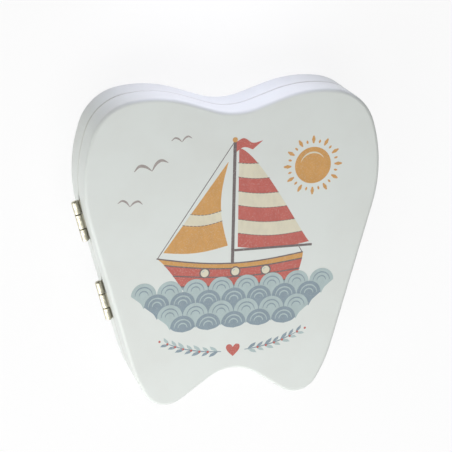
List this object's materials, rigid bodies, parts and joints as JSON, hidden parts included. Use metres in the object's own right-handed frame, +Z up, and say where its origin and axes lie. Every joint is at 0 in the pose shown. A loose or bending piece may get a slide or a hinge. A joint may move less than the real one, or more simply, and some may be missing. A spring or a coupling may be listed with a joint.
{
  "type": "baby tooth keepsake box",
  "caption": "Molar-shaped wooden keepsake box with a hinged lid, a board of wells for milk teeth and a curl compartment",
  "frame": {"origin": "middle of the back face, on the tooth's line of symmetry and halfway between crown and root tips; the box lies on this face", "axes": "+X to the free flank, away from the hinges; +Y to the crown; +Z up, out of the lid's face"},
  "size_m": [0.1248, 0.13, 0.0264],
  "materials": {
    "painted_board": "satin off-white paint on medium density fibreboard",
    "bare_board": "bare pale poplar, sanded",
    "hinge_brass": "pale aged brass plate",
    "screw_steel": "dulled brass-washed steel",
    "magnet_nickel": "bright nickel plate"
  },
  "bodies": {
    "tray": {"back_board": "painted_board", "lower_hinge_pin": "hinge_brass", "lower_tray_leaf": "hinge_brass", "lower_tray_screws": "screw_steel", "tooth_insert": "bare_board", "tray_frame": "painted_board", "tray_magnets": "magnet_nickel", "upper_hinge_pin": "hinge_brass", "upper_tray_leaf": "hinge_brass", "upper_tray_screws": "screw_steel"},
    "lid": {"face_board": "painted_board", "lid_frame": "painted_board", "lid_magnets": "magnet_nickel", "lid_panel": "bare_board", "lower_lid_leaf": "hinge_brass", "lower_lid_screws": "screw_steel", "upper_lid_leaf": "hinge_brass", "upper_lid_screws": "screw_steel"}
  },
  "joints": [
    {"name": "lid_hinge", "type": "hinge", "parent": "tray", "child": "lid", "pos_m": [-0.05559, -0.00408, 0.0132], "axis": [0.2566, -0.9665, 0], "range_deg": [0, 180]}
  ]
}
